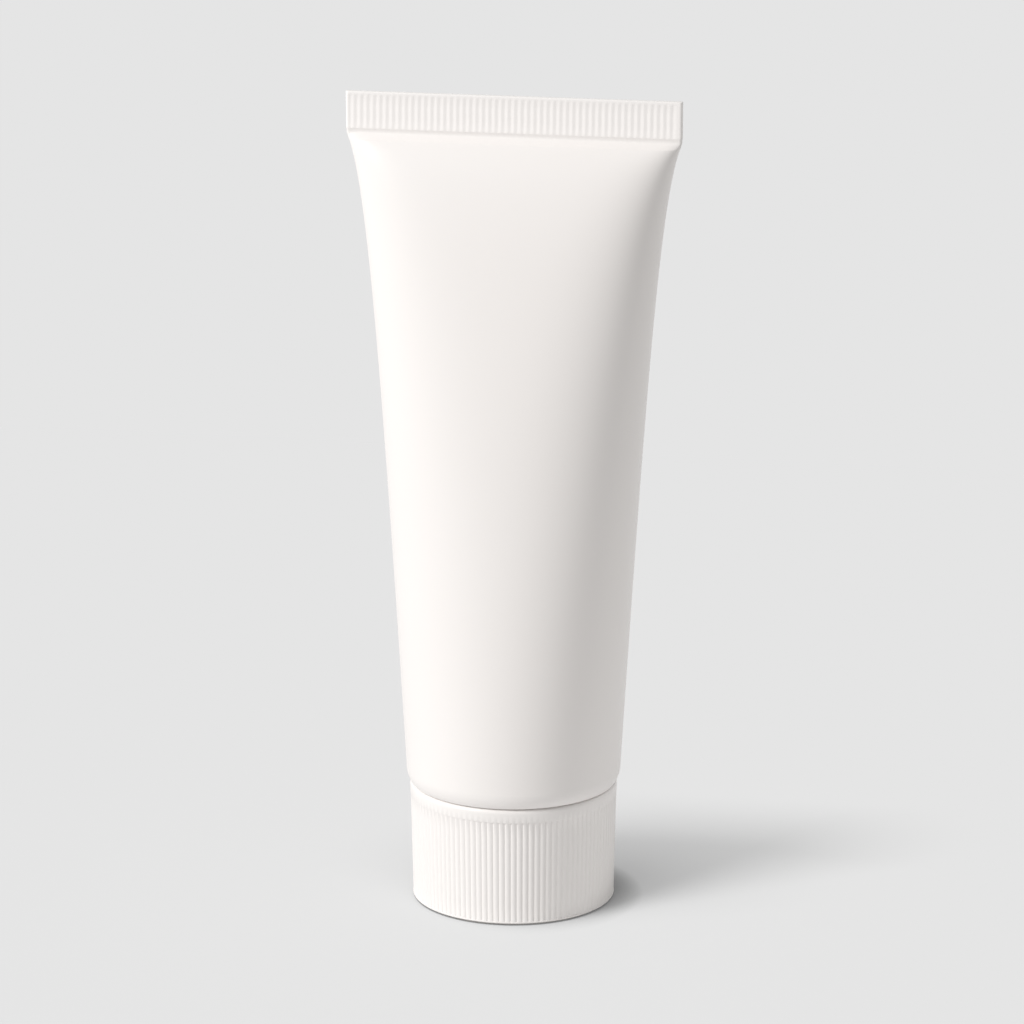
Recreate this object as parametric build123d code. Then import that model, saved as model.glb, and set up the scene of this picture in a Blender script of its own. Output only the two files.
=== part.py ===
from build123d import *
import math
import os
from itertools import pairwise

# A face cream tube that stands on its screw cap. Sizes are in millimetres. z = 0 is the closed end of the
# cap, +Z runs up to the crimp, +X runs along the crimp and -Y is the front.

# Sleeve: a thin plastic tube, round at the head and pressed flat at the crimp, with one girth throughout
sleeve_diameter = 35.0
sleeve_wall = 0.5
sleeve_length = 110.8         # from the weld on the head to the free edge of the crimp
fold_tightness = 0.8          # more gives flatter faces and tighter folds at the sides
fold_power = 0.72             # how fast the folds tighten towards the crimp
round_power = 1.6             # how late, going down, the sections turn round
opening_at_crimp = 0.0025     # place between the crimp, 0, and the weld, 1, of the section under the crimp
opening_at_cavity = 0.008     # the same where the walls part and the inside begins
section_count = 17
section_crowding = 2          # how far the sections are drawn to the crimp
wall_curves = 5               # curves that make up a quarter of a section
curve_crowding = 3            # how far the ends of the curves are drawn to the fold
walk_steps = 40               # steps in which the length of one curve is walked

# Crimp: the welded band, with fine upright ribs pressed into both faces
crimp_height = 6.4
crimp_thickness = 1.1
crimp_corner_round = 0.45
crimp_end_step = 0.1          # the jaws press each end of the band in by this much
crimp_rib_pitch = 1.04
crimp_rib_depth = 0.08
crimp_rib_shift = -0.31       # the jaws don't meet the tube quite in the middle
crimp_end_margin = 0.2
crimp_top_margin = 0.5
crimp_foot_margin = 0.5

# Head: the moulded shoulder and neck that the sleeve is welded to
shoulder_round = 4.0
shoulder_inset = 0.65         # how far the rounding has come in where the shoulder turns flat
shoulder_wall = 1.2
shoulder_land = 1.85          # width of the flat ring that faces the rim of the cap
shoulder_slope = 15.0         # degrees
neck_diameter = 12.0
neck_wall = 1.5
neck_length = 10.5
orifice_diameter = 4.5
orifice_plate = 1.0

# Cap: one moulding with a ribbed outer wall, a closed end and a stepped barrel inside
cap_height = 19.8
cap_step = 0.55               # the rim stands in from the sleeve by this much
cap_draft = 1.25              # degrees
cap_wall = 1.3
cap_end_wall = 1.6
cap_foot_height = 0.3         # the closed end stands on a flat foot, clear of the wall's edge
cap_foot_inset = 0.6
cap_base_round = 0.2
cap_rim_round = 0.6
cap_rim_band = 2.2            # smooth band between the rim and the ribs
cap_rib_pitch = 0.98
cap_rib_depth = 0.2
cap_rib_crest = 0.36          # flat crest of a rib, as a share of the pitch
cap_rib_foot = 0.05           # smooth wall between the rounded base and the ribs
cap_rib_sink = 0.05           # the crests of the ribs lie this far inside the smooth band
barrel_wall = 1.2
barrel_support_bore = 9.0

# Sealing wad: a loose disc between the neck and the barrel's ledge
wad_thickness = 1.0

# Cream
cream_headspace = 14.0        # air between the cream and the crimp

# Clearances
seam_gap = 0.25               # rim of the cap to the shoulder
thread_gap = 0.65             # plain neck to plain barrel, the room that the thread takes
barrel_end_gap = 0.35         # end of the barrel to the shoulder
wad_gap = 0.15
cream_gap = 0.1

# Heights, from the closed end of the cap up
shoulder_z = cap_height + seam_gap
weld_z = shoulder_z + math.sqrt(shoulder_round**2 - (shoulder_round - shoulder_inset) ** 2)
top_z = weld_z + sleeve_length
crimp_z = top_z - crimp_height
cream_z = crimp_z - cream_headspace

# Radii and heights of the head
sleeve_radius = sleeve_diameter / 2
shoulder_radius = sleeve_radius - shoulder_inset
land_radius = shoulder_radius - shoulder_land
neck_radius = neck_diameter / 2
neck_bore_radius = neck_radius - neck_wall
slope_rise = math.tan(math.radians(shoulder_slope))
neck_root_z = shoulder_z - (land_radius - neck_radius) * slope_rise
neck_tip_z = neck_root_z - neck_length
flange_radius = sleeve_radius - shoulder_wall

# Radii and heights of the cap
ledge_z = neck_tip_z - wad_thickness
barrel_top_z = neck_root_z - barrel_end_gap
barrel_bore_radius = neck_radius + thread_gap
draft_rise = math.tan(math.radians(cap_draft))
rim_radius = sleeve_radius - cap_step
base_radius = rim_radius - cap_height * draft_rise

# The sleeve keeps its girth, so a flattened section is wider than the round one
girth = math.pi * sleeve_diameter
fold_loss = (math.pi / 2 - 1) * crimp_thickness / 2
crimp_half_width = girth / 4 - fold_loss - crimp_end_step
taper_length = crimp_z - weld_z


def opening_z(opening):
    """Height of the section at a share of the way from the crimp, 0, to the weld, 1."""
    return crimp_z - taper_length * (opening - opening_at_crimp) / (1 - opening_at_crimp)


def z_opening(z):
    """The share at which the section at a height lies."""
    return opening_at_crimp + (1 - opening_at_crimp) * (crimp_z - z) / taper_length


def turn_power(opening):
    """How late the wall turns on its way to the fold. At 1 it turns evenly."""
    return 1 + fold_tightness / opening**fold_power


def wall_heading(share, opening):
    """Heading of the wall at a share of the way from the middle of the front to the side fold."""
    even = opening**round_power
    return math.pi / 2 * (even * share + (1 - even) * share ** turn_power(opening))


def wall_run(start, end, opening):
    """How far the wall runs sideways and back between two shares of the way to the fold."""
    step = (end - start) / walk_steps
    run = Vector(0, 0)
    for i in range(walk_steps):
        heading = wall_heading(start + (i + 0.5) * step, opening)
        run += Vector(math.cos(heading), math.sin(heading)) * (step * girth / 4)
    return run


def wall_curve(place, run, shares, opening, inset):
    """Curve along the wall from a place, moved in by an even inset."""
    first, last = [wall_heading(share, opening) for share in shares]
    length = (shares[1] - shares[0]) * girth / 4 - inset * (last - first)
    start = place + Vector(-math.sin(first), math.cos(first)) * inset
    end = place + run + Vector(-math.sin(last), math.cos(last)) * inset
    start_handle = Vector(math.cos(first), math.sin(first)) * (length / 3)
    end_handle = Vector(math.cos(last), math.sin(last)) * (length / 3)
    return Bezier(start, start + start_handle, end - end_handle, end)


def sleeve_section(opening, inset):
    """Face of one section of the sleeve, walked along its wall so that the girth is kept."""
    crowding = curve_crowding / turn_power(opening)
    stops = [(i / wall_curves) ** crowding for i in range(wall_curves + 1)]
    runs = [wall_run(start, end, opening) for start, end in pairwise(stops)]
    place = Vector(0, -sum(run.Y for run in runs))
    quarter = []
    for run, shares in zip(runs, pairwise(stops)):
        quarter.append(wall_curve(place, run, shares, opening, inset))
        place += run
    half = quarter + [mirror(edge, about=Plane.XZ) for edge in quarter]
    edges = half + [mirror(edge, about=Plane.YZ) for edge in half]
    return Pos(0, 0, opening_z(opening)) * make_face(edges)


def sleeve_loft(first_opening, inset):
    """Solid from a first section down to the round one at the weld, with the sections closest at the top."""
    sections = []
    for i in range(section_count):
        share = (i / (section_count - 1)) ** section_crowding
        sections.append(sleeve_section(first_opening + (1 - first_opening) * share, inset))
    return loft(sections)


def turned(*edges):
    """Solid turned about Z from the edges of a closed outline of radius and height."""
    return revolve(Plane.XZ * make_face(edges), Axis.Z)


def crimp_rib_cutter():
    """Saw-toothed bar that presses the ribs into the front face of the crimp."""
    room = 2 * (crimp_half_width - crimp_end_margin - abs(crimp_rib_shift))
    rib_count = int(room / crimp_rib_pitch)
    start_x = crimp_rib_shift - rib_count * crimp_rib_pitch / 2
    face_y = -crimp_thickness / 2
    outline = [(start_x, face_y - crimp_thickness)]
    for i in range(rib_count):
        outline.append((start_x + i * crimp_rib_pitch, face_y))
        outline.append((start_x + (i + 0.5) * crimp_rib_pitch, face_y + crimp_rib_depth))
    end_x = start_x + rib_count * crimp_rib_pitch
    outline += [(end_x, face_y), (end_x, face_y - crimp_thickness)]
    bar = make_face(Polyline(*outline, close=True))
    rib_height = crimp_height - crimp_top_margin - crimp_foot_margin
    return extrude(Pos(0, 0, crimp_z + crimp_foot_margin) * bar, rib_height)


def make_sleeve():
    body = sleeve_loft(opening_at_crimp, 0)
    band_outline = RectangleRounded(2 * crimp_half_width, crimp_thickness, crimp_corner_round)
    band = extrude(Pos(0, 0, crimp_z) * band_outline, crimp_height)
    cavity = sleeve_loft(opening_at_cavity, sleeve_wall)
    cutter = crimp_rib_cutter()
    return body + band - cavity - cutter - mirror(cutter, about=Plane.XZ)


def make_head():
    inside_z = shoulder_z + shoulder_wall
    bore_root_z = inside_z - (land_radius - neck_bore_radius) * slope_rise
    plate_z = neck_tip_z + orifice_plate
    rounding = TangentArc((sleeve_radius, weld_z), (shoulder_radius, shoulder_z), tangent=(0, -1))
    rest = Polyline(
        (shoulder_radius, shoulder_z),
        (land_radius, shoulder_z),
        (neck_radius, neck_root_z),
        (neck_radius, neck_tip_z),
        (orifice_diameter / 2, neck_tip_z),
        (orifice_diameter / 2, plate_z),
        (neck_bore_radius, plate_z),
        (neck_bore_radius, bore_root_z),
        (land_radius, inside_z),
        (flange_radius, inside_z),
        (flange_radius, weld_z),
        (sleeve_radius, weld_z),
    )
    return turned(rounding, rest)


def make_cream():
    upper = Pos(0, 0, cream_gap) * sleeve_loft(z_opening(cream_z), sleeve_wall + cream_gap)
    floor_z = shoulder_z + shoulder_wall + cream_gap
    plug_radius = neck_bore_radius - cream_gap
    plug_root_z = floor_z - (land_radius - plug_radius) * slope_rise
    plug_tip_z = neck_tip_z + orifice_plate + cream_gap
    outline = Polyline(
        (0, plug_tip_z),
        (plug_radius, plug_tip_z),
        (plug_radius, plug_root_z),
        (land_radius, floor_z),
        (flange_radius - cream_gap, floor_z),
        (flange_radius - cream_gap, weld_z + cream_gap),
        (0, weld_z + cream_gap),
        close=True,
    )
    lower = turned(outline)
    return upper + lower


def cap_rib_ring():
    """What the ribs leave out of the wall: a ring with the ribbed outline as its bore."""
    rib_count = round(2 * math.pi * rim_radius / cap_rib_pitch)
    rib_foot_z = cap_foot_height + cap_base_round + cap_rib_foot
    rib_top_z = cap_height - cap_rim_band
    step = 2 * math.pi / rib_count

    def ribbed_face(z):
        crest = base_radius + z * draft_rise - cap_rib_sink
        valley = crest - cap_rib_depth
        corners = []
        for i in range(rib_count):
            rib = ((valley, 0), (crest, 0.5 - cap_rib_crest / 2), (crest, 0.5 + cap_rib_crest / 2))
            for radius, place in rib:
                turn = (i + place) * step
                corners.append((radius * math.cos(turn), radius * math.sin(turn)))
        return Pos(0, 0, z) * make_face(Polyline(*corners, close=True))

    ribbed = loft([ribbed_face(rib_foot_z), ribbed_face(rib_top_z)], ruled=True)
    ring = Pos(0, 0, rib_foot_z) * extrude(Circle(sleeve_radius), rib_top_z - rib_foot_z)
    return ring - ribbed


def make_cap():
    inner_rim_radius = rim_radius - cap_wall
    inner_base_radius = base_radius + cap_end_wall * draft_rise - cap_wall
    edge_radius = base_radius + cap_foot_height * draft_rise
    foot_radius = base_radius - cap_foot_inset
    barrel_radius = barrel_bore_radius + barrel_wall
    support_bore_radius = barrel_support_bore / 2
    support_radius = support_bore_radius + barrel_wall
    outline = Polyline(
        (0, 0),
        (foot_radius, 0),
        (foot_radius, cap_foot_height),
        (edge_radius, cap_foot_height),
        (rim_radius, cap_height),
        (inner_rim_radius, cap_height),
        (inner_base_radius, cap_end_wall),
        (support_radius, cap_end_wall),
        (support_radius, ledge_z - barrel_wall),
        (barrel_radius, ledge_z - barrel_wall),
        (barrel_radius, barrel_top_z),
        (barrel_bore_radius, barrel_top_z),
        (barrel_bore_radius, ledge_z),
        (support_bore_radius, ledge_z),
        (support_bore_radius, cap_end_wall),
        (0, cap_end_wall),
        close=True,
    )
    section = make_face(outline)
    base_corner = section.vertices().sort_by_distance((edge_radius, cap_foot_height, 0))[0]
    section = fillet(base_corner, cap_base_round)
    rim_corner = section.vertices().sort_by_distance((rim_radius, cap_height, 0))[0]
    section = fillet(rim_corner, cap_rim_round)
    return revolve(Plane.XZ * section, Axis.Z) - cap_rib_ring()


def make_wad():
    return Pos(0, 0, ledge_z) * extrude(Circle(barrel_bore_radius - wad_gap), wad_thickness)


pieces = {
    "tube_sleeve": make_sleeve(),
    "tube_head": make_head(),
    "cream_fill": make_cream(),
    "screw_cap": make_cap(),
    "sealing_wad": make_wad(),
}

os.makedirs("parts", exist_ok=True)
for name, piece in pieces.items():
    export_step(piece, f"parts/{name}.step")
    print(name, len(piece.solids()), "solid", round(piece.volume, 1), "mm3")
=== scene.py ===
import math
import bmesh
import bpy
from mathutils import Euler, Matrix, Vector


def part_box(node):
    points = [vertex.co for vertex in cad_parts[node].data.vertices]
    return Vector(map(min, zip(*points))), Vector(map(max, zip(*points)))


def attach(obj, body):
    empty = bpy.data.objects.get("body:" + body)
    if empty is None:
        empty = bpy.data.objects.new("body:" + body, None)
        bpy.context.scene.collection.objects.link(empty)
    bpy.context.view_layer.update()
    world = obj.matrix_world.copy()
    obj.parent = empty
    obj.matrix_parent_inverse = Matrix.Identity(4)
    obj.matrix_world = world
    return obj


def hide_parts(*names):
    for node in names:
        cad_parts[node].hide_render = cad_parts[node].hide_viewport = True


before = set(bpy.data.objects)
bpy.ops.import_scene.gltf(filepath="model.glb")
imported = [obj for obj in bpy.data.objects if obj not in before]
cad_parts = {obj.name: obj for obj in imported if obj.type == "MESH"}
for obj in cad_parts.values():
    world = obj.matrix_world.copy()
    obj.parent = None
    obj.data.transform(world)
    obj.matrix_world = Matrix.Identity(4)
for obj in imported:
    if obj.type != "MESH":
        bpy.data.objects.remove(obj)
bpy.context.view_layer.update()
mm = 0.001                                  # lengths below are in millimetres, the scene is in metres


# Meshes

def addPiece(name, points, faces, body, finish, creaseDegrees=40):
    mesh = bpy.data.meshes.new(name)
    mesh.from_pydata([(x * mm, y * mm, z * mm) for x, y, z in points], [], faces)
    skin = bmesh.new()
    skin.from_mesh(mesh)
    bmesh.ops.recalc_face_normals(skin, faces=skin.faces)
    skin.to_mesh(mesh)
    skin.free()
    mesh.shade_smooth()
    mesh.set_sharp_from_angle(angle=math.radians(creaseDegrees))
    mesh.materials.append(finish)
    piece = bpy.data.objects.new(name, mesh)
    bpy.context.scene.collection.objects.link(piece)
    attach(piece, body)
    print(f"{name}: {len(mesh.vertices)} points, {len(mesh.polygons)} faces on {body}")
    return piece


def ringFaces(ringCount, size):
    # joins each ring of points to the next one
    faces = []
    for i in range(ringCount - 1):
        low = i * size
        high = low + size
        for j in range(size):
            k = (j + 1) % size
            faces.append((low + j, low + k, high + k, high + j))
    return faces


def evenSteps(first, last, count):
    return [first + (last - first) * i / (count - 1) for i in range(count)]


def arcPoints(centreRadius, centreZ, arcRadius, startDegrees, endDegrees, steps):
    points = []
    for degrees in evenSteps(startDegrees, endDegrees, steps + 1):
        turn = math.radians(degrees)
        points.append((centreRadius + arcRadius * math.cos(turn), centreZ + arcRadius * math.sin(turn)))
    return points


def boxSize(node):
    low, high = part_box(node)
    return low / mm, high / mm


# Shaders

plasticIor = 1.46
noiseMean = 0.5
fineDetail = 2.0                            # octaves of a fine noise and of a broad one
broadDetail = 3.0


class Wire:
    # one output of a node; sums and products of wires add Math nodes
    def __init__(self, owner, socket):
        self.owner = owner
        self.socket = socket

    def calc(self, operation, first, second):
        return self.owner.node("ShaderNodeMath", {"operation": operation}, {0: first, 1: second})

    def __add__(self, other):
        return self.calc("ADD", self, other)

    def __radd__(self, other):
        return self.calc("ADD", other, self)

    def __sub__(self, other):
        return self.calc("SUBTRACT", self, other)

    def __rsub__(self, other):
        return self.calc("SUBTRACT", other, self)

    def __mul__(self, other):
        return self.calc("MULTIPLY", self, other)

    def __rmul__(self, other):
        return self.calc("MULTIPLY", other, self)


class Nodes:
    def __init__(self, tree):
        self.tree = tree

    def put(self, socket, value):
        if isinstance(value, Wire):
            self.tree.links.new(value.socket, socket)
        else:
            socket.default_value = value

    def node(self, kind, settings=None, sockets=None, output=0):
        made = self.tree.nodes.new(kind)
        for key, value in (settings or {}).items():
            setattr(made, key, value)
        for key, value in (sockets or {}).items():
            self.put(made.inputs[key], value)
        return Wire(self, made.outputs[output])

    def seenShare(self):
        # 1 where the background itself is seen, directly or in a reflection, and 0 where it only lights
        kinds = ("Is Camera Ray", "Is Glossy Ray", "Is Transmission Ray")
        camera, glossy, through = [self.node("ShaderNodeLightPath", output=kind) for kind in kinds]
        return camera + glossy + through

    def blendColour(self, share, first, second):
        # inputs 6 and 7 and output 2 are the colour ones of the Mix node
        sockets = {0: share, 6: first, 7: second}
        return self.node("ShaderNodeMix", {"data_type": "RGBA"}, sockets, 2)


class Finish(Nodes):
    def __init__(self, name):
        self.material = bpy.data.materials.new(name)
        self.material.use_nodes = True
        super().__init__(self.material.node_tree)
        self.shader = self.tree.nodes["Principled BSDF"]
        self.place = self.node("ShaderNodeTexCoord", output="Object")

    def scaled(self, grainSize, stretch=(1, 1, 1)):
        # place counted in grains; grainSize in millimetres
        spread = [1 / (grainSize * mm * share) for share in stretch]
        return self.node("ShaderNodeVectorMath", {"operation": "MULTIPLY"}, {0: self.place, 1: spread})

    def noise(self, grainSize, detail, stretch=(1, 1, 1)):
        sockets = {"Vector": self.scaled(grainSize, stretch), "Scale": 1.0, "Detail": detail}
        return self.node("ShaderNodeTexNoise", None, sockets, "Fac")

    def band(self, value, start, end):
        # 0 before start, 1 after end
        limits = {"Value": value, "From Min": start, "From Max": end}
        return self.node("ShaderNodeMapRange", {"clamp": True}, limits)

    def height(self):
        return self.node("ShaderNodeSeparateXYZ", None, {0: self.place}, "Z")

    def bump(self, height, depth):
        # depth in millimetres where the height is 1
        sockets = {"Height": height, "Distance": depth * mm, "Strength": 1.0}
        return self.node("ShaderNodeBump", None, sockets)

    def finishWith(self, **values):
        for key, value in values.items():
            self.put(self.shader.inputs[key.replace("_", " ")], value)
        return self.material


# Sleeve: round at the head, flat at the crimp, with the same girth all the way

sleeveLook = {
    "wall": 0.5,
    "foldTightness": 0.8,                   # more gives flatter faces and tighter folds at the sides
    "foldPower": 0.72,                      # how fast the folds tighten towards the crimp
    "roundPower": 1.6,                      # how late, going down, the sections turn round
    "openingAtCrimp": 0.0025,               # places between the crimp, 0, and the weld, 1
    "openingAtCavity": 0.008,
    "outerRows": 90,
    "innerRows": 24,
    "rowCrowding": 1.7,                     # how far the rows are drawn to the crimp
    "walkSteps": 4,
    "crimpHeight": 6.4,
    "crimpThickness": 1.1,
    "crimpCornerRound": 0.45,
    "crimpEndStep": 0.1,
    "crimpEdgeRound": 0.12,
    "ribPitch": 1.0365,
    "ribDepth": 0.066,
    "ribShift": -0.34,                      # the jaws don't meet the tube quite in the middle
    "endMargin": 0.2,
    "topMargin": 0.5,
    "footMargin": 0.5,
    "ribRunOut": 0.12,                      # length over which a rib rises to its full depth
    "pointsPerRib": 8,
    "ribRows": 4,
    "edgeRows": 5,
    "cornerSteps": 4,
    "endSteps": 3,
    "grooveTop": 0.3,                       # soft groove round the foot of the crimp, heights from the foot
    "grooveFoot": -0.1,
    "grooveDepth": 0.08,
    "flareLength": 1.2,                     # the crimp runs out into the sleeve over this much below it
    "flarePower": 1.3,
    "flareRows": 8,
    "pressedAndPaintedLightFrom": 0.2,                     # heights from the foot between which the glossier pressed finish and the painted light on the crimp set in
    "pressedTo": 0.9,
    "white": (0.90, 0.865, 0.84, 1),
    "shadeWhite": (0.885, 0.848, 0.82, 1),
    "crimpPaintedLight": (0.95, 0.914, 0.889, 1),    # painted light: the crimp's band is made whiter to stand in for the extra light it catches
    "roughness": 0.42,
    "crimpRoughness": 0.34,
    "cloud": 22.0,
    "peel": 0.7,
    "peelDepth": 0.004,
    "drawLines": 0.35,                      # fine lines along the sleeve, from its drawing
    "drawStretch": (1, 1, 60),
    "drawDepth": 0.002,
    "unevenness": 0.05,                     # how far the roughness varies
}

sleeveLow, sleeveHigh = boxSize("tube_sleeve")
headLow, headHigh = boxSize("tube_head")
sleeveRadius = headHigh.y
weldZ = sleeveLow.z
topZ = sleeveHigh.z
crimpZ = topZ - sleeveLook["crimpHeight"]
quarterGirth = math.pi * sleeveRadius / 2
crimpHalfDepth = sleeveLook["crimpThickness"] / 2
foldLoss = (math.pi / 2 - 1) * crimpHalfDepth
crimpHalfWidth = quarterGirth - foldLoss - sleeveLook["crimpEndStep"]


def openingZ(opening):
    start = sleeveLook["openingAtCrimp"]
    return crimpZ - (crimpZ - weldZ) * (opening - start) / (1 - start)


def zOpening(z):
    start = sleeveLook["openingAtCrimp"]
    return start + (1 - start) * (crimpZ - z) / (crimpZ - weldZ)


def wallHeading(share, opening):
    # heading of the wall from the middle of the front, share 0, to the side fold, share 1
    even = opening ** sleeveLook["roundPower"]
    turnPower = 1 + sleeveLook["foldTightness"] / opening ** sleeveLook["foldPower"]
    return math.pi / 2 * (even * share + (1 - even) * share ** turnPower)


def sleeveQuarter(shares, opening, inset):
    # walks along the wall, so that every section has the same girth
    x = depth = last = 0
    walk = []
    for share in shares:
        step = (share - last) / sleeveLook["walkSteps"]
        for i in range(sleeveLook["walkSteps"]):
            heading = wallHeading(last + (i + 0.5) * step, opening)
            x += step * quarterGirth * math.cos(heading)
            depth += step * quarterGirth * math.sin(heading)
        last = share
        heading = wallHeading(share, opening)
        walk.append((x - inset * math.sin(heading), depth + inset * math.cos(heading)))
    return [(x, y - depth) for x, y in walk]


cornerRound = sleeveLook["crimpCornerRound"]
crimpRun = crimpHalfWidth - cornerRound
cornerRun = cornerRound * math.pi / 2
crimpQuarterRun = crimpRun + cornerRun + crimpHalfDepth - cornerRound


def crimpQuarter(shares, inset):
    # the crimp's outline, flat with rounded corners
    walk = []
    for share in shares:
        along = share * crimpQuarterRun
        past = max(0, along - crimpRun - cornerRun)
        heading = min(max(0, along - crimpRun) / cornerRound, math.pi / 2)
        reach = cornerRound - inset
        x = min(along, crimpRun) + reach * math.sin(heading)
        y = cornerRound - crimpHalfDepth - reach * math.cos(heading) + past
        walk.append((x, y))
    return walk


def wholeRing(quarter, shares, z):
    # front half from the left tip to the right tip, then the back half the other way
    left = quarter([-share for share in reversed(shares) if share < 0])
    right = quarter([share for share in shares if share >= 0])
    front = [(-x, y, z) for x, y in reversed(left)] + [(x, y, z) for x, y in right]
    back = [(x, -y, z) for x, y, z in reversed(front[1:-1])]
    return front + back


def sleeveRing(shares, opening, inset):
    return wholeRing(lambda side: sleeveQuarter(side, opening, inset), shares, openingZ(opening))


def crimpRing(shares, z, ribShare, inset):
    ring = wholeRing(lambda side: crimpQuarter(side, inset), shares, z)
    return [(x, y - math.copysign(ribShare * ribDent(x), y), z) for x, y, z in ring]


ribRoom = 2 * (crimpHalfWidth - sleeveLook["endMargin"] - abs(sleeveLook["ribShift"]))
ribCount = int(ribRoom / sleeveLook["ribPitch"])
ribStart = sleeveLook["ribShift"] - ribCount * sleeveLook["ribPitch"] / 2


def ribDent(x):
    place = (x - ribStart) / sleeveLook["ribPitch"]
    if not 0 < place < ribCount:
        return 0
    return sleeveLook["ribDepth"] * (1 - abs(2 * (place % 1) - 1))


def girthShares():
    # places round the girth that fall on the ribs' crests and valleys, then round the corners and ends
    step = sleeveLook["ribPitch"] / sleeveLook["pointsPerRib"]
    first = math.ceil((step / 2 - crimpRun - ribStart) / step)
    last = math.floor((crimpRun - step / 2 - ribStart) / step)
    flat = [(ribStart + k * step) / crimpQuarterRun for k in range(first, last + 1)]
    corner = evenSteps(crimpRun, crimpRun + cornerRun, sleeveLook["cornerSteps"] + 1)
    end = evenSteps(crimpRun + cornerRun, crimpQuarterRun, sleeveLook["endSteps"] + 1)
    fold = [along / crimpQuarterRun for along in corner + end[1:]]
    return [-share for share in reversed(fold)] + flat + fold


def stripFaces(base, size, frontCount):
    # closes a flattened ring by joining its front half to its back half
    faces = []
    for j in range(frontCount - 1):
        left = base + (size - j) % size
        right = base + size - j - 1 if j < frontCount - 2 else base + j + 1
        corners = (base + j, base + j + 1, right, left)
        faces.append(tuple(dict.fromkeys(corners)))
    return faces


def rowOpenings(first, count):
    return [first + (1 - first) * (i / (count - 1)) ** sleeveLook["rowCrowding"] for i in range(count)]


def flareRings(shares):
    # from the groove at the foot of the crimp out to the sleeve's first row
    spec = sleeveLook
    groove = crimpRing(shares, crimpZ + spec["grooveFoot"], 0, spec["grooveDepth"])
    sleeve = sleeveRing(shares, zOpening(crimpZ - spec["flareLength"]), 0)
    rings = [crimpRing(shares, crimpZ + spec["grooveTop"], 0, spec["grooveDepth"])]
    for step in evenSteps(0, 1, spec["flareRows"] + 1):
        out = step ** spec["flarePower"]
        ring = []
        for (x1, y1, z1), (x2, y2, z2) in zip(groove, sleeve):
            ring.append((x1 + (x2 - x1) * out, y1 + (y2 - y1) * out, z1 + (z2 - z1) * step))
        rings.append(ring)
    return rings


def crimpRings(shares):
    spec = sleeveLook
    ribFoot = crimpZ + spec["footMargin"]
    ribTop = topZ - spec["topMargin"]
    edge = spec["crimpEdgeRound"]
    rings = [crimpRing(shares, ribFoot, 0, 0)]
    for z in evenSteps(ribFoot + spec["ribRunOut"], ribTop - spec["ribRunOut"], spec["ribRows"]):
        rings.append(crimpRing(shares, z, 1, 0))
    rings.append(crimpRing(shares, ribTop, 0, 0))
    for turn in evenSteps(0, math.pi / 2, spec["edgeRows"]):
        z = topZ - edge * (1 - math.sin(turn))
        rings.append(crimpRing(shares, z, 0, edge * (1 - math.cos(turn))))
    return rings


def makeSleeve(finish):
    # one chain of rings: down the inside, up the outside, over the crimp
    shares = girthShares()
    spec = sleeveLook
    rings = []
    for opening in rowOpenings(spec["openingAtCavity"], spec["innerRows"]):
        rings.append(sleeveRing(shares, opening, spec["wall"]))
    firstOuter = zOpening(crimpZ - spec["flareLength"])
    for opening in reversed(rowOpenings(firstOuter, spec["outerRows"])):
        rings.append(sleeveRing(shares, opening, 0))
    rings += reversed(flareRings(shares)[:-1])
    rings += crimpRings(shares)
    size = len(rings[0])
    faces = ringFaces(len(rings), size)
    faces += stripFaces(0, size, len(shares))
    faces += stripFaces((len(rings) - 1) * size, size, len(shares))
    points = [point for ring in rings for point in ring]
    sleeve = addPiece("sleeveSkin", points, faces, "tube", finish)
    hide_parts("tube_sleeve")


def sleeveFinish():
    spec = sleeveLook
    skin = Finish("sleevePlastic")
    cloud = skin.noise(spec["cloud"], broadDetail)
    peel = skin.noise(spec["peel"], fineDetail)
    lines = skin.noise(spec["drawLines"], fineDetail, spec["drawStretch"])
    pressedAndPaintedLightStart = (crimpZ + spec["pressedAndPaintedLightFrom"]) * mm
    pressedAndPaintedLightEnd = (crimpZ + spec["pressedTo"]) * mm
    # the band over the crimp is glossier, and its colour carries painted light
    pressed = skin.band(skin.height(), pressedAndPaintedLightStart, pressedAndPaintedLightEnd)
    rough = spec["roughness"] + (spec["crimpRoughness"] - spec["roughness"]) * pressed
    relief = peel * spec["peelDepth"] + lines * spec["drawDepth"]
    white = skin.blendColour(cloud, spec["white"], spec["shadeWhite"])
    return skin.finishWith(
        Base_Color=skin.blendColour(pressed, white, spec["crimpPaintedLight"]),
        Roughness=rough + (cloud + peel - 2 * noiseMean) * spec["unevenness"],
        Normal=skin.bump(relief, 1.0),
        IOR=plasticIor,
    )


# Things turned about Z

def turnedPiece(name, profile, columns, body, finish, dent=None):
    # profile is a closed line of (radius, z, dent share); radius 0 is a point on the axis
    rings = []
    points = []
    for radius, z, share in profile:
        ring = []
        for j in range(1 if radius == 0 else columns):
            turn = 2 * math.pi * j / columns
            reach = radius - (share * dent(j) if share else 0)
            points.append((reach * math.cos(turn), reach * math.sin(turn), z))
            ring.append(len(points) - 1)
        rings.append(ring)
    faces = []
    for i, ring in enumerate(rings):
        after = rings[(i + 1) % len(rings)]
        if len(ring) == 1 and len(after) == 1:
            continue
        for j in range(columns):
            k = (j + 1) % columns
            low = (ring[j % len(ring)], ring[k % len(ring)])
            high = (after[k % len(after)], after[j % len(after)])
            faces.append(tuple(dict.fromkeys(low + high)))
    return addPiece(name, points, faces, body, finish)


def plain(*points):
    return [(radius, z, 0) for radius, z in points]


# Head: shoulder, neck and orifice, one moulding with its thread

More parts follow.
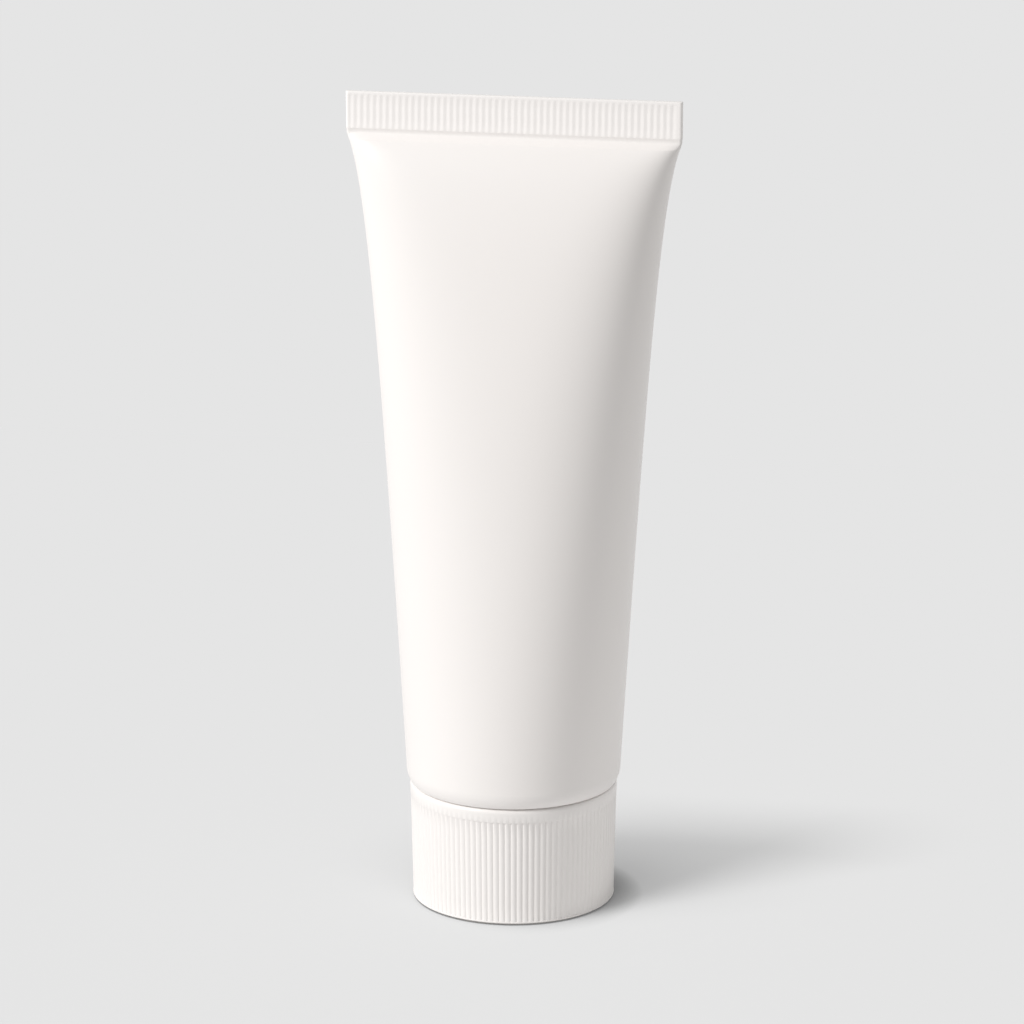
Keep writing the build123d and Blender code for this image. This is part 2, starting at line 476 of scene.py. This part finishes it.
headLook = {
    "columns": 240,
    "shoulderSteps": 10,
    "lipSteps": 5,
    "shoulderRound": 4.0,
    "shoulderInset": 0.65,
    "shoulderWall": 1.2,
    "shoulderLand": 1.85,
    "shoulderSlope": 15.0,                  # degrees
    "weldBead": 0.12,                       # the weld's bead hangs from the shoulder's edge by this much
    "weldBeadWidth": 0.35,
    "neckRadius": 6.0,
    "neckWall": 1.5,
    "neckLength": 10.5,
    "orificeRadius": 2.25,
    "orificePlate": 1.0,
    "lipRound": 0.3,
    "white": (0.90, 0.865, 0.84, 1),
    "shadeWhite": (0.89, 0.853, 0.826, 1),
    "roughness": 0.4,
    "grain": 0.5,
    "grainDepth": 0.003,
    "cloud": 9.0,
    "unevenness": 0.06,
}

neckTipZ = headLow.z
shoulderDrop = math.sqrt(headLook["shoulderRound"] ** 2
                         - (headLook["shoulderRound"] - headLook["shoulderInset"]) ** 2)
shoulderZ = weldZ - shoulderDrop


def makeHead(finish):
    spec = headLook
    slope = math.tan(math.radians(spec["shoulderSlope"]))
    shoulderRadius = sleeveRadius - spec["shoulderInset"]
    landRadius = shoulderRadius - spec["shoulderLand"]
    neckRootZ = neckTipZ + spec["neckLength"]
    boreRadius = spec["neckRadius"] - spec["neckWall"]
    insideZ = shoulderZ + spec["shoulderWall"]
    boreRootZ = insideZ - (landRadius - boreRadius) * slope
    flangeRadius = sleeveRadius - spec["shoulderWall"]
    plateZ = neckTipZ + spec["orificePlate"]
    lip = spec["lipRound"]
    roundEnd = math.degrees(math.asin((shoulderDrop + spec["weldBead"]) / spec["shoulderRound"]))
    centreRadius = sleeveRadius - spec["shoulderRound"]
    beadRadius = shoulderRadius - spec["weldBeadWidth"]
    profile = arcPoints(centreRadius, weldZ, spec["shoulderRound"], 0, -roundEnd, spec["shoulderSteps"])
    profile += [(beadRadius, shoulderZ), (landRadius, shoulderZ), (spec["neckRadius"], neckRootZ)]
    profile += arcPoints(spec["neckRadius"] - lip, neckTipZ + lip, lip, 0, -90, spec["lipSteps"])
    profile += [
        (spec["orificeRadius"], neckTipZ),
        (spec["orificeRadius"], plateZ),
        (boreRadius, plateZ),
        (boreRadius, boreRootZ),
        (landRadius, insideZ),
        (flangeRadius, insideZ),
        (flangeRadius, weldZ),
    ]
    head = turnedPiece("headMoulding", plain(*profile), spec["columns"], "tube", finish)
    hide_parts("tube_head")


def mouldedFinish(name, spec):
    skin = Finish(name)
    cloud = skin.noise(spec["cloud"], broadDetail)
    grain = skin.noise(spec["grain"], fineDetail)
    return skin.finishWith(
        Base_Color=skin.blendColour(cloud, spec["white"], spec["shadeWhite"]),
        Roughness=spec["roughness"] + (cloud + grain - 2 * noiseMean) * spec["unevenness"],
        Normal=skin.bump(grain, spec["grainDepth"]),
        IOR=plasticIor,
    )


# Thread: a ridge on the neck and one in the cap's barrel, half a pitch apart

threadLook = {
    "pitch": 3.0,
    "turns": 2.2,
    "stepsPerTurn": 60,
    "rootWidth": 1.1,
    "crestWidth": 0.5,
    "height": 0.5,
    "sink": 0.15,                           # how far the ridge is sunk into what carries it
    "runOut": 40.0,                         # degrees over which each end rises
    "neckStart": 1.6,                       # above the neck's tip
    "neckTurn": 0.0,                        # degrees at which each ridge starts
    "barrelTurn": 180.0,
    "crease": 25.0,                         # degrees from which an edge is sharp
}


def threadRidge(name, rootRadius, outward, startZ, startDegrees, body, slotName, finish):
    spec = threadLook
    count = int(spec["turns"] * spec["stepsPerTurn"])
    points = []
    for i in range(count + 1):
        turned = 360 * i / spec["stepsPerTurn"]
        left = 360 * count / spec["stepsPerTurn"] - turned
        rise = min(1, turned / spec["runOut"], left / spec["runOut"])
        crest = outward * (spec["height"] * rise - spec["sink"] * (1 - rise) / 2)
        root = -outward * spec["sink"]
        corners = [
            (root, -spec["rootWidth"] / 2),
            (crest, -spec["crestWidth"] / 2),
            (crest, spec["crestWidth"] / 2),
            (root, spec["rootWidth"] / 2),
        ]
        turn = math.radians(startDegrees + turned)
        z = startZ + spec["pitch"] * turned / 360
        for reach, shift in corners:
            radius = rootRadius + reach
            points.append((radius * math.cos(turn), radius * math.sin(turn), z + shift))
    size = len(corners)
    faces = ringFaces(count + 1, size)
    faces += [tuple(range(size)), tuple(range(count * size, count * size + size))]
    addPiece(name, points, faces, body, finish, spec["crease"])


# Cap: ribbed wall, closed end, stepped barrel for the neck

capLook = {
    "pointsPerRib": 10,
    "ribRows": 8,
    "baseSteps": 8,
    "rimSteps": 6,
    "draft": 1.25,                          # degrees
    "wall": 1.3,
    "endWall": 1.6,
    "step": 0.55,                           # the rim stands in from the sleeve by this much
    "footHeight": 0.3,                      # the closed end stands on a flat foot, clear of the wall's edge
    "footInset": 0.6,
    "baseRound": 0.2,
    "rimRound": 0.75,
    "rimBand": 2.2,
    "ribPitch": 0.98,
    "ribDepth": 0.125,
    "ribTurn": 0.4,                         # how far round the ribs are set, as a share of the pitch
    "ribFoot": 0.05,
    "ribSink": 0.05,                        # the crests lie this far inside the smooth band
    "ribRunOut": 0.08,
    "barrelWall": 1.2,
    "barrelBore": 6.65,
    "barrelEndGap": 0.35,
    "supportBore": 4.5,
    "white": (0.907, 0.873, 0.848, 1),
    "shadeWhite": (0.894, 0.858, 0.831, 1),
    "roughness": 0.4,
    "grain": 0.45,
    "grainDepth": 0.003,
    "cloud": 12.0,
    "unevenness": 0.06,
}

capHeight = boxSize("screw_cap")[1].z
ledgeZ = boxSize("sealing_wad")[0].z
rimRadius = sleeveRadius - capLook["step"]
capRibCount = round(2 * math.pi * rimRadius / capLook["ribPitch"])


def capDent(column):
    spec = capLook
    place = column / spec["pointsPerRib"] - spec["ribTurn"]
    fromCrest = abs(2 * (place % 1) - 1)
    return spec["ribSink"] + spec["ribDepth"] * fromCrest ** 2


def makeCap(finish):
    spec = capLook
    slope = math.tan(math.radians(spec["draft"]))

    def wallRadius(z):
        return rimRadius - (capHeight - z) * slope

    barrelTopZ = neckTipZ + headLook["neckLength"] - spec["barrelEndGap"]
    barrelRadius = spec["barrelBore"] + spec["barrelWall"]
    supportRadius = spec["supportBore"] + spec["barrelWall"]
    base = spec["baseRound"]
    rim = spec["rimRound"]
    footZ = spec["footHeight"]
    footRadius = wallRadius(0) - spec["footInset"]
    baseZ = footZ + base
    rimZ = capHeight - rim
    ribFoot = baseZ + spec["ribFoot"]
    ribTop = capHeight - spec["rimBand"]
    runOut = spec["ribRunOut"]
    profile = plain((0, 0), (footRadius / 2, 0), (footRadius, 0), (footRadius, footZ))
    profile += plain(*arcPoints(wallRadius(baseZ) - base, baseZ, base, -90, 0, spec["baseSteps"]))
    profile.append((wallRadius(ribFoot), ribFoot, 0))
    for z in evenSteps(ribFoot + runOut, ribTop - runOut, spec["ribRows"]):
        profile.append((wallRadius(z), z, 1))
    profile.append((wallRadius(ribTop), ribTop, 0))
    profile += plain(*arcPoints(wallRadius(rimZ) - rim, rimZ, rim, 0, 90, spec["rimSteps"]))
    profile += plain(
        (rimRadius - spec["wall"], capHeight),
        (wallRadius(spec["endWall"]) - spec["wall"], spec["endWall"]),
        (supportRadius, spec["endWall"]),
        (supportRadius, ledgeZ - spec["barrelWall"]),
        (barrelRadius, ledgeZ - spec["barrelWall"]),
        (barrelRadius, barrelTopZ),
        (spec["barrelBore"], barrelTopZ),
        (spec["barrelBore"], ledgeZ),
        (spec["supportBore"], ledgeZ),
        (spec["supportBore"], spec["endWall"]),
        (0, spec["endWall"]),
    )
    columns = capRibCount * spec["pointsPerRib"]
    cap = turnedPiece("capMoulding", profile, columns, "cap", finish, capDent)
    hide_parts("screw_cap")


# Sealing wad and cream keep their solids, with finishes of their own

wadLook = {
    "white": (0.86, 0.85, 0.83, 1),
    # painted shade: the hollows between the foam's cells are darker
    "paintedPoreShade": (0.78, 0.77, 0.75, 1),
    "cellSize": 0.35,
    "cellDepth": 0.05,
    "roughness": 0.75,
    "unevenness": 0.1,
}

creamLook = {
    "white": (0.90, 0.87, 0.80, 1),
    # painted shade: the ripples' hollows are darker, and yellower
    "fold": (0.86, 0.82, 0.74, 1),
    "foldSize": 7.0,
    "foldDepth": 0.25,
    "roughness": 0.28,
    "unevenness": 0.12,
    "coat": 0.3,
}


def wadFinish():
    spec = wadLook
    foam = Finish("wadFoam")
    sockets = {"Vector": foam.scaled(spec["cellSize"]), "Scale": 1.0}
    cells = foam.node("ShaderNodeTexVoronoi", {"feature": "F1"}, sockets, "Distance")
    return foam.finishWith(
        Base_Color=foam.blendColour(cells, spec["white"], spec["paintedPoreShade"]),
        Roughness=spec["roughness"] + (cells - noiseMean) * spec["unevenness"],
        Normal=foam.bump(1 - cells, spec["cellDepth"]),
    )


def creamFinish():
    spec = creamLook
    cream = Finish("creamFill")
    folds = cream.noise(spec["foldSize"], broadDetail)
    return cream.finishWith(
        Base_Color=cream.blendColour(folds, spec["fold"], spec["white"]),
        Roughness=spec["roughness"] + (folds - noiseMean) * spec["unevenness"],
        Normal=cream.bump(folds, spec["foldDepth"]),
        Coat_Weight=spec["coat"],
    )


def dressNode(node, finish):
    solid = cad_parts[node]
    solid.data.materials.clear()
    solid.data.materials.append(finish)


# Build

print("finishes")
sleevePlastic = sleeveFinish()
headPlastic = mouldedFinish("headPlastic", headLook)
capPlastic = mouldedFinish("capPlastic", capLook)

print("pieces")
makeSleeve(sleevePlastic)
makeHead(headPlastic)
makeCap(capPlastic)
threadZ = neckTipZ + threadLook["neckStart"]
neckPlace = (headLook["neckRadius"], 1, threadZ, threadLook["neckTurn"])
barrelPlace = (capLook["barrelBore"], -1, threadZ, threadLook["barrelTurn"])
threadRidge("neckThread", *neckPlace, "tube", "head_plastic", headPlastic)
threadRidge("barrelThread", *barrelPlace, "cap", "cap_plastic", capPlastic)
dressNode("sealing_wad", wadFinish())
dressNode("cream_fill", creamFinish())


# Floor, light and camera

stageLook = {
    "floorHalf": 0.28,                      # metres; the backdrop goes on in the same grey
    "floorGrey": 0.288,
    "floorRoughness": 0.9,
    "floorGlow": 0.710,                     # seen on the floor besides the light that it gets
    "floorGlowShare": 0.479,
    "ambient": 0.40,
    "backdrop": 0.783,
    "paintedShadowReach": 0.005,                  # painted contact shadow: metres over which the floor's glow fades beside the cap
    "paintedShadowSamples": 4,
    "paintedShadowLean": (-0.87, -0.42, 0.25),    # the side that this glow comes from; the painted contact shadow lies on the side away from it
}

# azimuth in degrees from the front, to the left where below 0
# a lamp that includes the floor lights nothing else, and one that excludes it lights all the rest
lampAim = Vector((0, 0, 0.075))
lamps = {
    "side": {
        "kind": "AREA",
        "strength": 4.95,
        "azimuth": -53.0,
        "elevation": 36.0,
        "distance": 0.8,                    # metres from the tube
        "size": 0.26,                       # metres across
        "floor": "EXCLUDE",
    },
    "rim": {
        "kind": "AREA",
        "strength": 1.35,
        "azimuth": 125.0,
        "elevation": 20.0,
        "distance": 1.3,
        "size": 0.42,
        "floor": "EXCLUDE",
    },
    "overhead": {
        "kind": "SUN",
        "strength": 3.7,
        "azimuth": -30.0,
        "elevation": 82.0,
        "distance": 1.3,
        "size": 17.0,                       # degrees across
        "floor": "INCLUDE",
    },
    "front": {
        "kind": "SUN",
        "strength": 4.65,
        "azimuth": -40.0,
        "elevation": 69.0,
        "distance": 1.3,
        "size": 12.0,
        "floor": "INCLUDE",
    },
}

cameraLook = {
    "azimuth": 10.33,                       # degrees, towards +X from the front
    "distance": 0.8,                        # metres over the floor
    "height": 0.286,
    "pitch": 15.45,
    "yaw": 0.018,
    "lens": 180.7,                          # millimetres, for the sensor's width below
    "sensor": 36.0,
    "nearest": 0.01,
}


def grey(level):
    return (level, level, level, 1)


def makeFloor():
    spec = stageLook
    half = spec["floorHalf"]
    corners = [(-half, -half, 0), (half, -half, 0), (half, half, 0), (-half, half, 0)]
    mesh = bpy.data.meshes.new("floor")
    mesh.from_pydata(corners, [], [(0, 1, 2, 3)])
    paper = Finish("floorPaper")
    paper.finishWith(
        Base_Color=grey(spec["floorGrey"]),
        Roughness=spec["floorRoughness"],
        Specular_IOR_Level=0.0,
    )
    seen = paper.seenShare() * spec["floorGlowShare"]
    leanX, leanY, leanZ = spec["paintedShadowLean"]
    lean = paper.node("ShaderNodeCombineXYZ", None, {"X": leanX, "Y": leanY, "Z": leanZ})
    sockets = {"Distance": spec["paintedShadowReach"], "Normal": lean}
    settings = {"samples": spec["paintedShadowSamples"]}
    # painted contact shadow: the glow is darkened where the cap is near
    clear = paper.node("ShaderNodeAmbientOcclusion", settings, sockets, "AO")
    colour = paper.blendColour(clear, grey(0), grey(spec["floorGlow"]))
    glow = paper.node("ShaderNodeEmission", None, {"Color": colour})
    plainPaper = Wire(paper, paper.shader.outputs[0])
    surface = paper.node("ShaderNodeMixShader", None, {0: seen, 1: plainPaper, 2: glow})
    paper.put(paper.tree.nodes["Material Output"].inputs["Surface"], surface)
    mesh.materials.append(paper.material)
    floor = bpy.data.objects.new("floor", mesh)
    bpy.context.scene.collection.objects.link(floor)
    return floor


def makeLamp(name, spec, floor):
    light = bpy.data.lights.new(name, spec["kind"])
    light.energy = spec["strength"]
    if spec["kind"] == "SUN":
        light.angle = math.radians(spec["size"])
    else:
        light.shape = "DISK"
        light.size = spec["size"]
    lamp = bpy.data.objects.new(name, light)
    azimuth = math.radians(spec["azimuth"])
    elevation = math.radians(spec["elevation"])
    level = math.cos(elevation)
    towards = Vector((math.sin(azimuth) * level, -math.cos(azimuth) * level, math.sin(elevation)))
    lamp.location = lampAim + towards * spec["distance"]
    lamp.rotation_euler = towards.to_track_quat("Z", "Y").to_euler()
    bpy.context.scene.collection.objects.link(lamp)
    reach = bpy.data.collections.new(name + "Reach")
    reach.objects.link(floor)
    reach.collection_objects[0].light_linking.link_state = spec["floor"]
    lamp.light_linking.receiver_collection = reach


def makeWorld():
    world = bpy.data.worlds.new("studio")
    bpy.context.scene.world = world
    world.use_nodes = True
    studio = Nodes(world.node_tree)
    ambient = grey(stageLook["ambient"])
    light = studio.blendColour(studio.seenShare(), ambient, grey(stageLook["backdrop"]))
    studio.put(studio.tree.nodes["Background"].inputs["Color"], light)


def makeCamera():
    spec = cameraLook
    lens = bpy.data.cameras.new("camera")
    lens.sensor_width = spec["sensor"]
    lens.lens = spec["lens"]
    lens.clip_start = spec["nearest"]
    camera = bpy.data.objects.new("camera", lens)
    azimuth = math.radians(spec["azimuth"])
    camera.location = (
        math.sin(azimuth) * spec["distance"],
        -math.cos(azimuth) * spec["distance"],
        spec["height"],
    )
    tilt = math.radians(90 - spec["pitch"])
    camera.rotation_euler = Euler((tilt, 0, azimuth + math.radians(spec["yaw"])))
    bpy.context.scene.collection.objects.link(camera)
    bpy.context.scene.camera = camera


print("stage")
floorSheet = makeFloor()
for name, spec in lamps.items():
    makeLamp(name, spec, floorSheet)
makeWorld()
makeCamera()
bpy.context.scene.view_settings.view_transform = "Standard"
